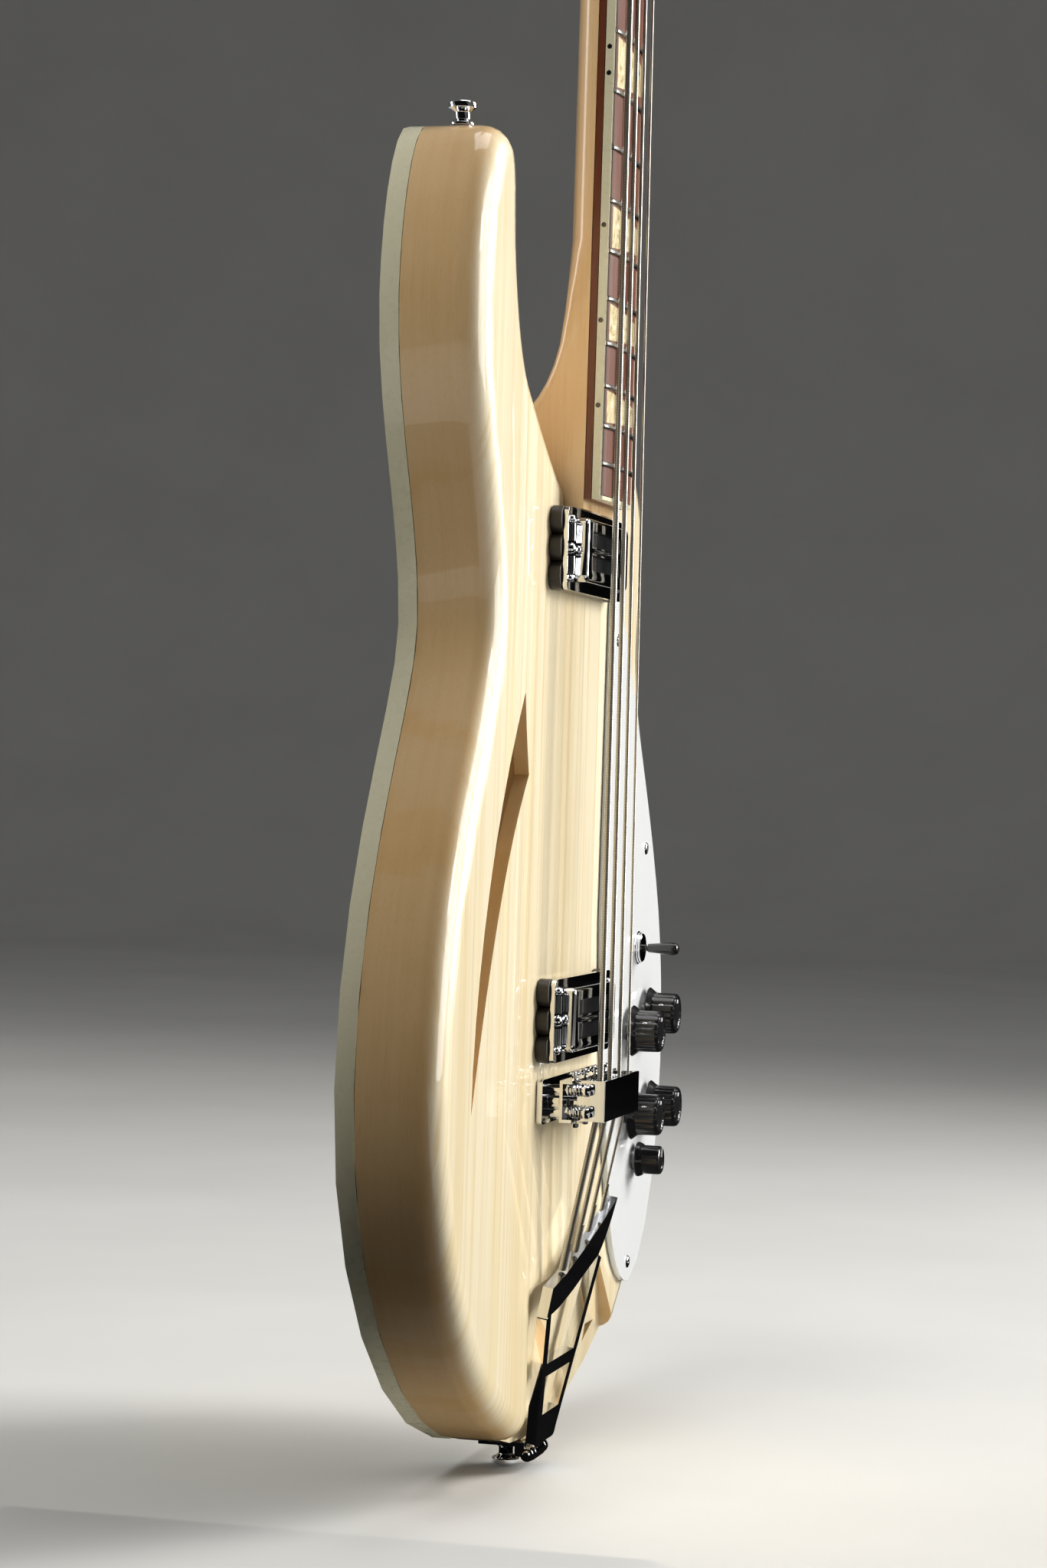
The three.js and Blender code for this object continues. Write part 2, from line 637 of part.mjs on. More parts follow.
// The saddle rests at the tail end of its travel, with its crest at the end nearer the neck.
function saddle({ bridgeX, radius }) {
  const profile = polygon([[-7.1, -9.6], [-7.1, -17], [-3, -23.2], [-0.1, -23.2], [-0.1, -9.6]]);
  const block = new THREE.ExtrudeGeometry(profile, { depth: SADDLE_WIDTH, bevelEnabled: false });
  block.rotateY(-Math.PI / 2);
  const upright = new THREE.Matrix4().makeBasis(
    new THREE.Vector3(-1, 0, 0),
    new THREE.Vector3(0, 1, 0),
    new THREE.Vector3(0, 0, 1),
  );
  block.applyMatrix4(upright).translate(bridgeX - SADDLE_WIDTH / 2, 0, 0);
  const floor = STRING_RISE_BRIDGE - radius - GAP;
  const half = radius + GAP + 0.1;
  const slot = riseBox([bridgeX - half, bridgeX + half], [floor - 1.6, 30], [-12, 5]);
  return cut(turnedOut(block), slot);
}

// ---------------------------------------------------------------- pickups

const PAD_TOP = 5.2;
const FRAME_TOP = 7.4;
const LOBE_SPACING = 11.5;

const coilOpening = riseBox(
  [-PICKUP_OPENING, PICKUP_OPENING],
  [-PAST, FRAME_TOP + PAST],
  [-LOBE_SPACING, LOBE_SPACING],
);

function pickupPad() {
  const slab = plate(roundedRectangle(47, 14, 4), GAP, PAD_TOP, 3);
  const lobes = [-1, 1].flatMap((side) =>
    [-LOBE_SPACING, 0, LOBE_SPACING].map((z) => bar("y", 6, -PAD_TOP, -GAP, side * 47.5, z, 12)),
  );
  return cut(join(slab, ...lobes), coilOpening);
}

function pickupFrame() {
  return cut(plate(roundedRectangle(50, 17.3, 3.5), PAD_TOP + GAP, FRAME_TOP, 4), coilOpening);
}

function pickupCover() {
  const round = 1.6;
  const outer = new THREE.ExtrudeGeometry(roundedRectangle(37, 13.4, 3), {
    depth: 4,
    bevelEnabled: true,
    bevelThickness: round,
    bevelSize: round,
    bevelOffset: -round,
    bevelSegments: 3,
    curveSegments: 3,
  });
  outer.rotateX(Math.PI / 2).translate(0, -FRAME_TOP, 0);
  const slot = (z0) => riseBox([-29, 29], [FRAME_TOP, 20], [z0, z0 + 6.4]);
  return cut(
    outer,
    riseBox([-40, 40], [PAD_TOP, FRAME_TOP + GAP], [-20, 20]),
    riseBox([-34.5, 34.5], [7, 11.6], [-11, 11]),
    slot(-8.2),
    slot(1.8),
  );
}

function pickupCoil() {
  return join(
    riseBox([-31, 31], [-5, -3.4], [-10.5, 10.5]),
    riseBox([-28, 28], [-4, 10], [-7.5, 7.5]),
    riseBox([-31, 31], [9.4, 11.2], [-10.5, 10.5]),
  );
}

// ---------------------------------------------------------------- controls

const shaft = () => bar("y", SHAFT_RADIUS, -9, 8, 0, 0, 10);

// The knob and its shaft turn together; the shaft runs down inside the potentiometer's bushing.
function knob() {
  const skirt = turned([[0, KNOB_BASE], [11.6, KNOB_BASE], [11.6, 5.7], [9.6, 8.6], [0, 8.6]], 20);
  const lobes = 10;
  const section = new THREE.Shape();
  const points = 3 * lobes;
  for (let i = 0; i < points; i++) {
    const angle = (2 * Math.PI * i) / points;
    const radius = 9.1 - 0.55 * Math.cos(lobes * angle);
    if (i === 0) section.moveTo(radius, 0);
    else section.lineTo(radius * Math.cos(angle), radius * Math.sin(angle));
  }
  const barrel = plate(section, 8, 18.6);
  const hollow = bar("y", 6.6, -8.4, 0, 0, 0, 12);
  return join(cut(join(skirt, barrel), hollow), shaft());
}

function smallKnob() {
  const barrel = turned(
    [[0, KNOB_BASE], [8, KNOB_BASE], [8, 6], [6.5, 8.4], [6.5, 15.6], [5.9, 16.4], [0, 16.4]],
    16,
  );
  const hollow = bar("y", 5.6, -8.4, 0, 0, 0, 12);
  return join(cut(barrel, hollow), shaft());
}

// Can under the top, bushing through the top and the pickguard, and a blind bore for the shaft.
function potentiometer(x, z) {
  const can = bar("y", 11.6, TOP_THICK + GAP, TOP_THICK + 9, 0, 0, 16);
  const bushing = bar("y", CONTROL_HOLE - 0.4, -KNOB_BASE + 0.5, TOP_THICK + PAST, 0, 0, 12);
  const lugs = box([-5, 5], [TOP_THICK + 1.2, TOP_THICK + 2.2], [-14.5, -10]);
  return cut(join(can, bushing, lugs), bar("y", SHAFT_RADIUS + 0.4, -5, 8.6, 0, 0, 10)).translate(x, 0, z);
}

function switchBody() {
  const can = box([-10, 10], [TOP_THICK + GAP, 26], [-8, 8]);
  const bushing = bar("y", SWITCH_HOLE - 0.4, -4, TOP_THICK + PAST, 0, 0, 16);
  const collar = bar("y", 7, -4.4, -GUARD_TOP - GAP, 0, 0, 20);
  const bore = bar("y", 3.9, -5, 12, 0, 0, 16);
  return cut(join(can, bushing, collar), bore).translate(SWITCH.x, 0, SWITCH.z);
}

function switchLever() {
  const profile = [
    [0, -8], [1.2, -8], [1.6, -6], [2.4, -5], [2.4, -3], [1.5, -2], [1.5, 7.6],
    [2, 8], [2.9, 19], [2.4, 21.6], [0, 22.6],
  ];
  return turned(profile, 12).translate(SWITCH.x, 0, SWITCH.z);
}

// ---------------------------------------------------------------- jack and strap buttons

// The flat that the jack plate sits on, just inside the widest point of the rim.
const jackFaceX = () => BODY_HALF_WIDTH - 3.4;
const JACK_SHEET = 2;

function jackPlate() {
  const x = jackFaceX() + GAP;
  const slab = box([x, x + JACK_SHEET], [JACK.y - 8.6, JACK.y + 8.6], [JACK.z - 20, JACK.z + 20]);
  return cut(slab, bar("x", JACK.hole, x - PAST, x + JACK_SHEET + PAST, JACK.y, JACK.z, 16));
}

function jackSocket() {
  const x = jackFaceX();
  const face = x + GAP + JACK_SHEET + GAP;
  const back = x - 22;
  const line = [JACK.y, JACK.z];
  const body = join(
    bar("x", JACK.barrel, back, face + 0.6, ...line, 16),
    bar("x", JACK.nut, face, face + 0.7, ...line, 6),
    bar("x", 8, back, back + 5, ...line, 16),
  );
  return cut(body, bar("x", JACK.bore, back + 4, face + PAST, ...line, 16));
}

// Drawn on the Y axis with its base at the origin, then turned to point along +Z.
function strapButton() {
  const profile = [
    [0, 0], [5, 0], [5, 1], [3.1, 2.4], [3.1, 5.2], [4.6, 6.4], [5.85, 6.8], [5.85, 8.8],
    [5.4, PIN_HEIGHT], [0, PIN_HEIGHT],
  ];
  return turned(profile, 16).rotateX(-Math.PI / 2);
}

// ---------------------------------------------------------------- tuners

const GEAR_RISE = HEAD_RISE - HEAD_THICK - 2.6;
const WORM_Z = -12.6;
const WORM_Y = -GEAR_RISE + 3;

function tunerPlate() {
  const back = HEAD_RISE - HEAD_THICK - GAP;
  const base = plate(roundedRectangle(13, 17, 3), back - 2, back, 2).translate(0, 0, -4);
  const ears = [-11, 8].map((x) =>
    box([x, x + 3], [-back + 1, WORM_Y + 4], [WORM_Z - 4, WORM_Z + 4]),
  );
  return cut(
    join(base, ...ears),
    bar("y", POST_RADIUS + 0.4, -back - PAST, -back + 3, 0, 0, 12),
    bar("x", 1.9, -14, 14, WORM_Y, WORM_Z, 8),
  );
}

function tunerPost() {
  const top = HEAD_RISE + 16;
  const back = GEAR_RISE;
  return turned(
    [
      [0, back - 5.2], [9, back - 5.2], [9, back], [POST_RADIUS, back], [POST_RADIUS, top - 2.4],
      [6.4, top - 1.4], [6.4, top - 0.4], [5.8, top], [0, top],
    ],
    14,
  );
}

// The key's stem points to +X for a treble tuner; a bass tuner's is turned round.
function tunerKey() {
  const grip = new THREE.Shape();
  grip.absellipse(0, 0, 9, 12.5, 0, 2 * Math.PI);
  const settings = { depth: 3.4, bevelEnabled: false, curveSegments: 8 };
  const paddle = new THREE.ExtrudeGeometry(grip, settings).translate(0, 0, -1.7);
  const line = [WORM_Y, WORM_Z];
  return join(
    bar("x", 1.6, -11.4, 30, ...line, 8),
    bar("x", 3, -7.6, 7.6, ...line, 10),
    bar("x", 3.2, 11.6, 26, ...line, 10),
    paddle.translate(33, WORM_Y, WORM_Z),
  );
}

// ---------------------------------------------------------------- assembly

const instrument = new THREE.Group();
instrument.position.set(0, -PIN_Y, -END_FACE);

function place(parent, name, geometry, material, x = 0, y = 0, z = 0) {
  const mesh = new THREE.Mesh(geometry, material());
  mesh.name = name;
  mesh.position.set(x, y, z);
  parent.add(mesh);
  return mesh;
}

function addBody() {
  place(instrument, "body_shell", bodyShell(), blondeMaple);
  place(instrument, "back_panel", backPanel(), blondeMaple);
  place(instrument, "back_binding", backBinding(), ivory);
  place(instrument, "pickguard", pickguard(), whitePlastic);
}

function addNeck() {
  place(instrument, "neck", neck(), neckMaple);
  place(instrument, "fretboard", fretboard(), redwood);
  place(instrument, "neck_binding", neckBinding(), ivory);
  place(instrument, "nut", nut(), bone);
  place(instrument, "truss_rod", trussRod(), steel);
  place(instrument, "truss_cover", trussCover(), whitePlastic);
}

function addStrings() {
  STRINGS.forEach((string, i) => {
    place(instrument, string.name, stringWire(string, POSTS[i]), steel);
    place(instrument, string.name.replace("string", "saddle"), saddle(string), chrome);
  });
}

function addBridge() {
  place(instrument, "bridge_base", bridgeBase(), chrome);
  place(instrument, "bridge_carriage", bridgeCarriage(), chrome);
  place(instrument, "bridge_cover", bridgeCover(), chrome);
  place(instrument, "tailpiece", tailpiece(), chrome);
  place(instrument, "tailpiece_bracket", tailBracket(), chrome);
}

function addPickups() {
  for (const { name, z } of PICKUPS) {
    const group = new THREE.Group();
    group.position.set(0, 0, z);
    instrument.add(group);
    place(group, name + "_pad", pickupPad(), blackRubber);
    place(group, name + "_frame", pickupFrame(), chrome);
    place(group, name + "_cover", pickupCover(), chrome);
    place(group, name + "_coil", pickupCoil(), blackPlastic);
  }
}

function addControls() {
  for (const { name, x, z, small } of KNOBS) {
    place(instrument, name + "_knob", small ? smallKnob() : knob(), blackPlastic, x, 0, z);
    place(instrument, name + "_pot", potentiometer(x, z), steel);
  }
  place(instrument, "switch_body", switchBody(), steel);
  place(instrument, "switch_lever", switchLever(), blackPlastic);
}

function addHardware() {
  place(instrument, "jack_plate", jackPlate(), chrome);
  place(instrument, "jack_socket", jackSocket(), chrome);
  place(instrument, "horn_strap_button", strapButton(), chrome, HORN_PIN.x, PIN_Y, HORN_PIN.z + GAP);
  const end = place(instrument, "end_strap_button", strapButton(), chrome);
  end.rotation.x = Math.PI;
  end.position.set(0, PIN_Y, BODY_BOTTOM - 2 * GAP - BRACKET_THICK);
}

function addTuners() {
  for (const { name, x, z } of POSTS) {
    const group = new THREE.Group();
    group.position.set(x, 0, z);
    instrument.add(group);
    place(group, "tuner_" + name + "_plate", tunerPlate(), chrome);
    place(group, "tuner_" + name + "_post", tunerPost(), chrome);
    const key = tunerKey();
    const turn = x < 0 ? Math.PI : 0;
    const shift = x < 0 ? 2 * WORM_Y : 0;
    const mesh = place(group, "tuner_" + name + "_key", key, chrome, 0, shift, 0);
    mesh.rotation.z = turn;
  }
}

addBody();
addNeck();
addStrings();
addBridge();
addPickups();
addControls();
addHardware();
addTuners();

const bass = new THREE.Group();
bass.add(instrument);
export default bass;
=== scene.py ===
import math

import bmesh
import bpy
from mathutils import Matrix, Vector

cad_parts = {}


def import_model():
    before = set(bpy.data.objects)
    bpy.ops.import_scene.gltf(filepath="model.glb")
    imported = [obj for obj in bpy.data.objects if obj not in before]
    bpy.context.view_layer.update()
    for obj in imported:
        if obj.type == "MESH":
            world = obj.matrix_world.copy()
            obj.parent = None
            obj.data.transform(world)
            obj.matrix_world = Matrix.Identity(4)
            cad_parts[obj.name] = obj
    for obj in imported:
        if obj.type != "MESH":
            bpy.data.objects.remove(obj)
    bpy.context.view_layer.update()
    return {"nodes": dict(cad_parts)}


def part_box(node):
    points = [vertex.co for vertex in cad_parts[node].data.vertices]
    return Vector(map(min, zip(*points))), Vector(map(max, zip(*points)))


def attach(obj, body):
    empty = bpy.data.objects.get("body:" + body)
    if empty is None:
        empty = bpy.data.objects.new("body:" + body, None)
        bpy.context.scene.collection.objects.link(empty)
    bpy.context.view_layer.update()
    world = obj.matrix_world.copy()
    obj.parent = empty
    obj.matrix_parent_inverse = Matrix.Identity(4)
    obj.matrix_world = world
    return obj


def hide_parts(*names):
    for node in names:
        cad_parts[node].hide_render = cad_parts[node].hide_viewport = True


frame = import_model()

nodes = frame["nodes"]

# ---------------------------------------------------------------- places taken from the frame
# Pieces are drawn in millimetres as (x, rise, z): rise is the height in front of the body's top,
# and z is measured up the neck from the saddle line.

def centre(node):
    low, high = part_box(node)
    return [(low[i] + high[i]) / 2 for i in range(3)]


GUARD_GAP = 0.0003  # the pickguard lies this far in front of the body's top, in metres
TOP_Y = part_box("pickguard")[1][1] + GUARD_GAP
SADDLE_Z = centre("bridge_base")[2]
SCALE = (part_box("nut")[0][2] - SADDLE_Z) * 1000
BOARD_END = (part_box("fretboard")[0][2] - SADDLE_Z) * 1000


def world(x, rise, z):
    return Vector((x / 1000, TOP_Y - rise / 1000, SADDLE_Z + z / 1000))


def local(point):
    return (point[0] * 1000, (TOP_Y - point[1]) * 1000, (point[2] - SADDLE_Z) * 1000)


def local_centre(node):
    return local(centre(node))


def rise_of(node, corner):
    return (TOP_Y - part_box(node)[corner][1]) * 1000


BOARD_CROWN = rise_of("fretboard", 0)
CROWN_RADIUS = 254.0


def crown(x):
    """The rise of the rounded fretboard's face."""
    return BOARD_CROWN - CROWN_RADIUS + math.sqrt(CROWN_RADIUS**2 - x * x)


board_low, board_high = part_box("fretboard")
nut_low, nut_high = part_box("nut")
END_HALF = (board_high[0] - board_low[0]) / 2 * 1000
NUT_HALF = (nut_high[0] - nut_low[0]) / 2 * 1000


def board_half(z):
    """Half the fretboard's width, which tapers from its end to the nut."""
    return NUT_HALF + (END_HALF - NUT_HALF) * (SCALE - z) / (SCALE - BOARD_END)


def fret_z(number):
    return SCALE / 2 ** (number / 12)


# ---------------------------------------------------------------- materials

UNTINTED = (1, 1, 1)
MIX_A, MIX_B, MIX_RESULT = 6, 7, 2  # a mix node's colour sockets, whose names aren't unique


def new_material(name, color, rough, metal=0.0, coat=0.0, coat_rough=0.03, specular=0.5):
    mat = bpy.data.materials.new(name)
    mat.use_nodes = True
    tree = mat.node_tree
    bsdf = tree.nodes["Principled BSDF"]
    bsdf.inputs["Base Color"].default_value = (*color, 1)
    bsdf.inputs["Roughness"].default_value = rough
    bsdf.inputs["Metallic"].default_value = metal
    bsdf.inputs["Coat Weight"].default_value = coat
    bsdf.inputs["Coat Roughness"].default_value = coat_rough
    bsdf.inputs["Specular IOR Level"].default_value = specular
    return mat, tree, bsdf


def mapped(tree, scale):
    coords = tree.nodes.new("ShaderNodeTexCoord")
    mapping = tree.nodes.new("ShaderNodeMapping")
    mapping.inputs["Scale"].default_value = scale
    tree.links.new(coords.outputs["Object"], mapping.inputs["Vector"])
    return mapping.outputs["Vector"]


def noise(tree, scale, detail=6.0, rough=0.6, distortion=0.0):
    node = tree.nodes.new("ShaderNodeTexNoise")
    node.inputs["Scale"].default_value = 1.0
    node.inputs["Detail"].default_value = detail
    node.inputs["Roughness"].default_value = rough
    node.inputs["Distortion"].default_value = distortion
    tree.links.new(mapped(tree, scale), node.inputs["Vector"])
    return node.outputs["Fac"]


def ramp(tree, value, stops):
    node = tree.nodes.new("ShaderNodeValToRGB")
    tree.links.new(value, node.inputs["Fac"])
    elements = node.color_ramp.elements
    while len(elements) < len(stops):
        elements.new(0.5)
    for element, (place, color) in zip(elements, stops):
        element.position = place
        element.color = (*color, 1)
    return node.outputs["Color"]


def blend_colors(tree, a, b, factor, mode="MULTIPLY"):
    node = tree.nodes.new("ShaderNodeMix")
    node.data_type = "RGBA"
    node.blend_type = mode
    if isinstance(factor, float):
        node.inputs["Factor"].default_value = factor
    else:
        tree.links.new(factor, node.inputs["Factor"])
    tree.links.new(a, node.inputs[MIX_A])
    tree.links.new(b, node.inputs[MIX_B])
    return node.outputs[MIX_RESULT]


def paint(tree, bsdf, value, stops):
    """Colours the surface by a ramp over a value."""
    tree.links.new(ramp(tree, value, stops), bsdf.inputs["Base Color"])


def faded(color, share):
    return tuple(1 - share + share * c for c in color)


def add_bump(tree, bsdf, height, strength, distance):
    node = tree.nodes.new("ShaderNodeBump")
    node.inputs["Strength"].default_value = strength
    node.inputs["Distance"].default_value = distance
    tree.links.new(height, node.inputs["Height"])
    tree.links.new(node.outputs["Normal"], bsdf.inputs["Normal"])


def roughness_between(tree, bsdf, value, low, high):
    node = tree.nodes.new("ShaderNodeMapRange")
    node.inputs["To Min"].default_value = low
    node.inputs["To Max"].default_value = high
    tree.links.new(value, node.inputs["Value"])
    tree.links.new(node.outputs["Result"], bsdf.inputs["Roughness"])


def facing_front(tree):
    """1 where a surface faces along Y, 0 where it faces sideways, from the shape alone."""
    geometry = tree.nodes.new("ShaderNodeNewGeometry")
    split = tree.nodes.new("ShaderNodeSeparateXYZ")
    tree.links.new(geometry.outputs["Normal"], split.inputs["Vector"])
    size = tree.nodes.new("ShaderNodeMath")
    size.operation = "ABSOLUTE"
    tree.links.new(split.outputs["Y"], size.inputs[0])
    spread = tree.nodes.new("ShaderNodeMapRange")
    spread.interpolation_type = "SMOOTHSTEP"
    spread.inputs["From Min"].default_value = 0.35
    spread.inputs["From Max"].default_value = 0.85
    tree.links.new(size.outputs[0], spread.inputs["Value"])
    return spread.outputs["Result"]


def wood(name, pale, mid, dark, streak_scale, pore_scale, pore_depth, coat, painted_side_shade=UNTINTED):
    """Lacquered wood: broad drifts of colour, long streaks and short pores along Z, and painted shade
    that darkens the sides.
    """
    mat, tree, bsdf = new_material(name, mid, 0.35, coat=coat, coat_rough=0.02)
    broad = ramp(tree, noise(tree, (26, 14, 2.0), 4, 0.5, 0.5), [(0.3, mid), (0.7, pale)])
    front_scale, side_scale, length_scale = streak_scale
    front = ramp(tree, noise(tree, (front_scale, 10, length_scale), 7, 0.66, 0.2),
                 [(0.36, dark), (0.50, UNTINTED), (1.0, UNTINTED)])
    side = ramp(tree, noise(tree, (16, side_scale, 3 * length_scale), 4, 0.5, 0.2),
                [(0.34, faded(dark, 0.28)), (0.56, UNTINTED), (1.0, UNTINTED)])
    facing = facing_front(tree)
    streaks = blend_colors(tree, side, front, facing, "MIX")
    pores = ramp(tree, noise(tree, pore_scale, 3, 0.5),
                 [(0.34, faded(dark, 0.4)), (0.46, UNTINTED), (1.0, UNTINTED)])
    bands = ramp(tree, noise(tree, (75, 12, 0.9), 3, 0.55, 0.3),
                 [(0.40, (0.93, 0.86, 0.70)), (0.52, UNTINTED)])
    color = blend_colors(tree, broad, streaks, 0.6)
    color = blend_colors(tree, color, bands, 0.6)
    color = blend_colors(tree, color, pores, 0.5)
    # painted shade: faces turned sideways are multiplied by a darker, warmer colour
    side_shade = ramp(tree, facing, [(0.0, painted_side_shade), (1.0, UNTINTED)])
    color = blend_colors(tree, color, side_shade, 1.0)
    tree.links.new(color, bsdf.inputs["Base Color"])
    roughness_between(tree, bsdf, noise(tree, (60, 60, 10), 3), 0.22, 0.42)
    add_bump(tree, bsdf, noise(tree, pore_scale, 3, 0.5), pore_depth, 0.0002)
    return mat


def metal(name, color, low, high, scratch):
    mat, tree, bsdf = new_material(name, color, (low + high) / 2, metal=1.0)
    roughness_between(tree, bsdf, noise(tree, (160, 160, 160), 5), low, high)
    tint = tuple(c * 0.93 for c in color)
    paint(tree, bsdf, noise(tree, (40, 40, 40), 4), [(0.3, tint), (0.7, color)])
    add_bump(tree, bsdf, noise(tree, (900, 900, 90), 4), scratch, 0.00004)
    return mat


def plastic(name, color, low, high, grain=0.05, coat=0.0, drift=0.9):
    mat, tree, bsdf = new_material(name, color, (low + high) / 2, coat=coat)
    shade = tuple(c * drift for c in color)
    paint(tree, bsdf, noise(tree, (35, 35, 35), 4), [(0.25, shade), (0.75, color)])
    roughness_between(tree, bsdf, noise(tree, (220, 220, 220), 4), low, high)
    add_bump(tree, bsdf, noise(tree, (1500, 1500, 1500), 3), grain, 0.00005)
    return mat


def pearl():
    """Cloudy plastic of the inlays."""
    mat, tree, bsdf = new_material("pearl", (0.55, 0.46, 0.28), 0.25, coat=0.3)
    swirl = noise(tree, (110, 110, 70), 5, 0.6, 2.5)
    paint(tree, bsdf, swirl,
          [(0.30, (0.20, 0.13, 0.06)), (0.46, (0.60, 0.50, 0.28)), (0.62, (0.74, 0.67, 0.46))])
    roughness_between(tree, bsdf, swirl, 0.12, 0.35)
    return mat


def wound_steel():
    """Round-wound string: fine ridges across the length, with painted shade between them."""
    mat, tree, bsdf = new_material("string_steel", (0.26, 0.25, 0.23), 0.3, metal=1.0)
    wave = tree.nodes.new("ShaderNodeTexWave")
    wave.wave_type = "BANDS"
    wave.bands_direction = "Z"
    wave.inputs["Scale"].default_value = 1.0
    wave.inputs["Distortion"].default_value = 0.3
    tree.links.new(mapped(tree, (300, 300, 700)), wave.inputs["Vector"])
    # painted shade: the grooves between the windings are coloured darker
    paint(tree, bsdf, wave.outputs["Fac"], [(0.1, (0.16, 0.15, 0.13)), (0.6, (0.44, 0.42, 0.38))])
    roughness_between(tree, bsdf, noise(tree, (200, 200, 60), 4), 0.24, 0.42)
    add_bump(tree, bsdf, wave.outputs["Fac"], 0.5, 0.0001)
    return mat


# the last colour is painted shade on the body's sides
MAPLE_TOP = wood("maple_top", (0.92, 0.83, 0.62), (0.88, 0.77, 0.54), (0.86, 0.72, 0.50),
                 (420, 380, 3.0), (1500, 1200, 40), 0.03, 1.0, (0.80, 0.62, 0.44))
MAPLE_NECK = wood("maple_neck", (0.84, 0.60, 0.33), (0.76, 0.50, 0.25), (0.84, 0.66, 0.46),
                  (230, 210, 4), (1500, 1500, 50), 0.05, 0.8)
REDWOOD = wood("redwood", (0.20, 0.060, 0.026), (0.12, 0.034, 0.016), (0.40, 0.27, 0.22),
               (420, 420, 14), (1300, 1300, 60), 0.30, 0.0)
IVORY = plastic("ivory_binding", (0.72, 0.69, 0.50), 0.22, 0.34, 0.01, 0.4, 0.985)
CHROME = metal("chrome", (0.86, 0.87, 0.89), 0.025, 0.07, 0.02)
SOFT_CHROME = metal("worn_chrome", (0.80, 0.80, 0.81), 0.10, 0.20, 0.05)
NICKEL = metal("fret_nickel", (0.72, 0.70, 0.66), 0.14, 0.26, 0.08)
STRING_STEEL = wound_steel()
STEEL = metal("zinc_steel", (0.55, 0.55, 0.55), 0.30, 0.45, 0.1)
WHITE = plastic("white_plastic", (0.76, 0.78, 0.80), 0.10, 0.18, 0.01, 0.5, 0.98)
BLACK = plastic("black_plastic", (0.012, 0.012, 0.013), 0.10, 0.24, 0.04, 0.4)
RUBBER = plastic("black_rubber", (0.018, 0.014, 0.011), 0.30, 0.5, 0.2)
BONE = plastic("bone", (0.78, 0.74, 0.62), 0.3, 0.45, 0.05)
PEARL = pearl()

# ---------------------------------------------------------------- mesh building

def add_object(name, data):
    obj = bpy.data.objects.new(name, data)
    bpy.context.scene.collection.objects.link(obj)
    return obj


def angles(count):
    return [2 * math.pi * i / count for i in range(count)]


def circle(middle, radius, across, over, sides):
    return [middle + radius * (math.cos(a) * across + math.sin(a) * over) for a in angles(sides)]


class Builder:
    """Collects closed pieces drawn in (x, rise, z) millimetres and makes them one object."""

    def __init__(self):
        self.verts = []
        self.faces = []

    def add(self, verts, faces):
        base = len(self.verts)
        self.verts += [tuple(v) for v in verts]
        self.faces += [tuple(base + i for i in face) for face in faces]

    def rings(self, rings):
        """Joins rings of equal length; the first and last are capped."""
        count = len(rings[0])
        verts = [v for ring in rings for v in ring]
        faces = []
        for r in range(len(rings) - 1):
            for i in range(count):
                j = (i + 1) % count
                faces.append((r * count + i, r * count + j, (r + 1) * count + j, (r + 1) * count + i))
        faces.append(tuple(range(count))[::-1])
        faces.append(tuple((len(rings) - 1) * count + i for i in range(count)))
        self.add(verts, faces)

    def turned(self, profile, at, axis, sides=32):
        """A turned piece: profile of (radius, height) pairs along an axis from a point."""
        across, over = frame_of(axis)
        along = Vector(axis).normalized()
        self.rings([circle(Vector(at) + along * height, radius, across, over, sides)
                    for radius, height in profile])

    def tube(self, points, radius, sides=12):
        """A round wire along a line of points."""
        points = [Vector(p) for p in points]
        rings = []
        across = None
        for i, point in enumerate(points):
            before = points[max(0, i - 1)]
            after = points[min(len(points) - 1, i + 1)]
            along = (after - before).normalized()
            if across is None:
                across, over = frame_of(along)
            across = (across - along * across.dot(along)).normalized()
            over = along.cross(across)
            rings.append(circle(point, radius, across, over, sides))
        self.rings(rings)

    def slab(self, outline, low, high, chamfer=0.3):
        """A flat plate with an outline in (x, z), softened along its front edge."""
        inner = inset(outline, chamfer)
        self.rings([
            [(x, low, z) for x, z in outline],
            [(x, high - chamfer, z) for x, z in outline],
            [(x, high - 0.3 * chamfer, z) for x, z in inset(outline, 0.3 * chamfer)],
            [(x, high, z) for x, z in inner],
        ])

    def screw(self, at, axis, radius, height, slot="cross"):
        """A domed screw head with a driver recess."""
        across, over = frame_of(axis)
        up = Vector(axis).normalized()
        sides, steps = 32, 7
        arm, width = 0.62 * radius, 0.15 * radius
        sunk = 0.4
        rings = [circle(Vector(at) - up * sunk, radius, across, over, sides),
                 circle(Vector(at), radius, across, over, sides)]
        for step in range(1, steps + 1):
            ring = []
            r = radius * (1 - step / (steps + 0.6))
            for a in angles(sides):
                u, v = r * math.cos(a), r * math.sin(a)
                lift = height * math.sqrt(max(0.0, 1 - (r / radius) ** 2 * 0.85))
                in_slot = abs(u) < width and abs(v) < (radius if slot == "line" else arm)
                in_cross = slot == "cross" and abs(v) < width and abs(u) < arm
                if in_slot or in_cross:
                    lift -= 0.55 * height
                ring.append(Vector(at) + up * lift + u * across + v * over)
            rings.append(ring)
        self.rings(rings)

    def make(self, name, material, body="instrument", angle=35):
        """Makes the collected pieces one object that rides on a body."""
        mesh = bpy.data.meshes.new(name)
        mesh.from_pydata([world(*v) for v in self.verts], [], self.faces)
        work = bmesh.new()
        work.from_mesh(mesh)
        bmesh.ops.recalc_face_normals(work, faces=work.faces)
        work.to_mesh(mesh)
        work.free()
        mesh.materials.append(material)
        obj = add_object(name, mesh)
        soften(obj, angle)
        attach(obj, body)
        return obj


def frame_of(axis):
    """Two directions square to an axis and to each other."""
    axis = Vector(axis).normalized()
    helper = Vector((0, 0, 1)) if abs(axis.z) < 0.9 else Vector((1, 0, 0))
    across = axis.cross(helper).normalized()
    return across, axis.cross(across)


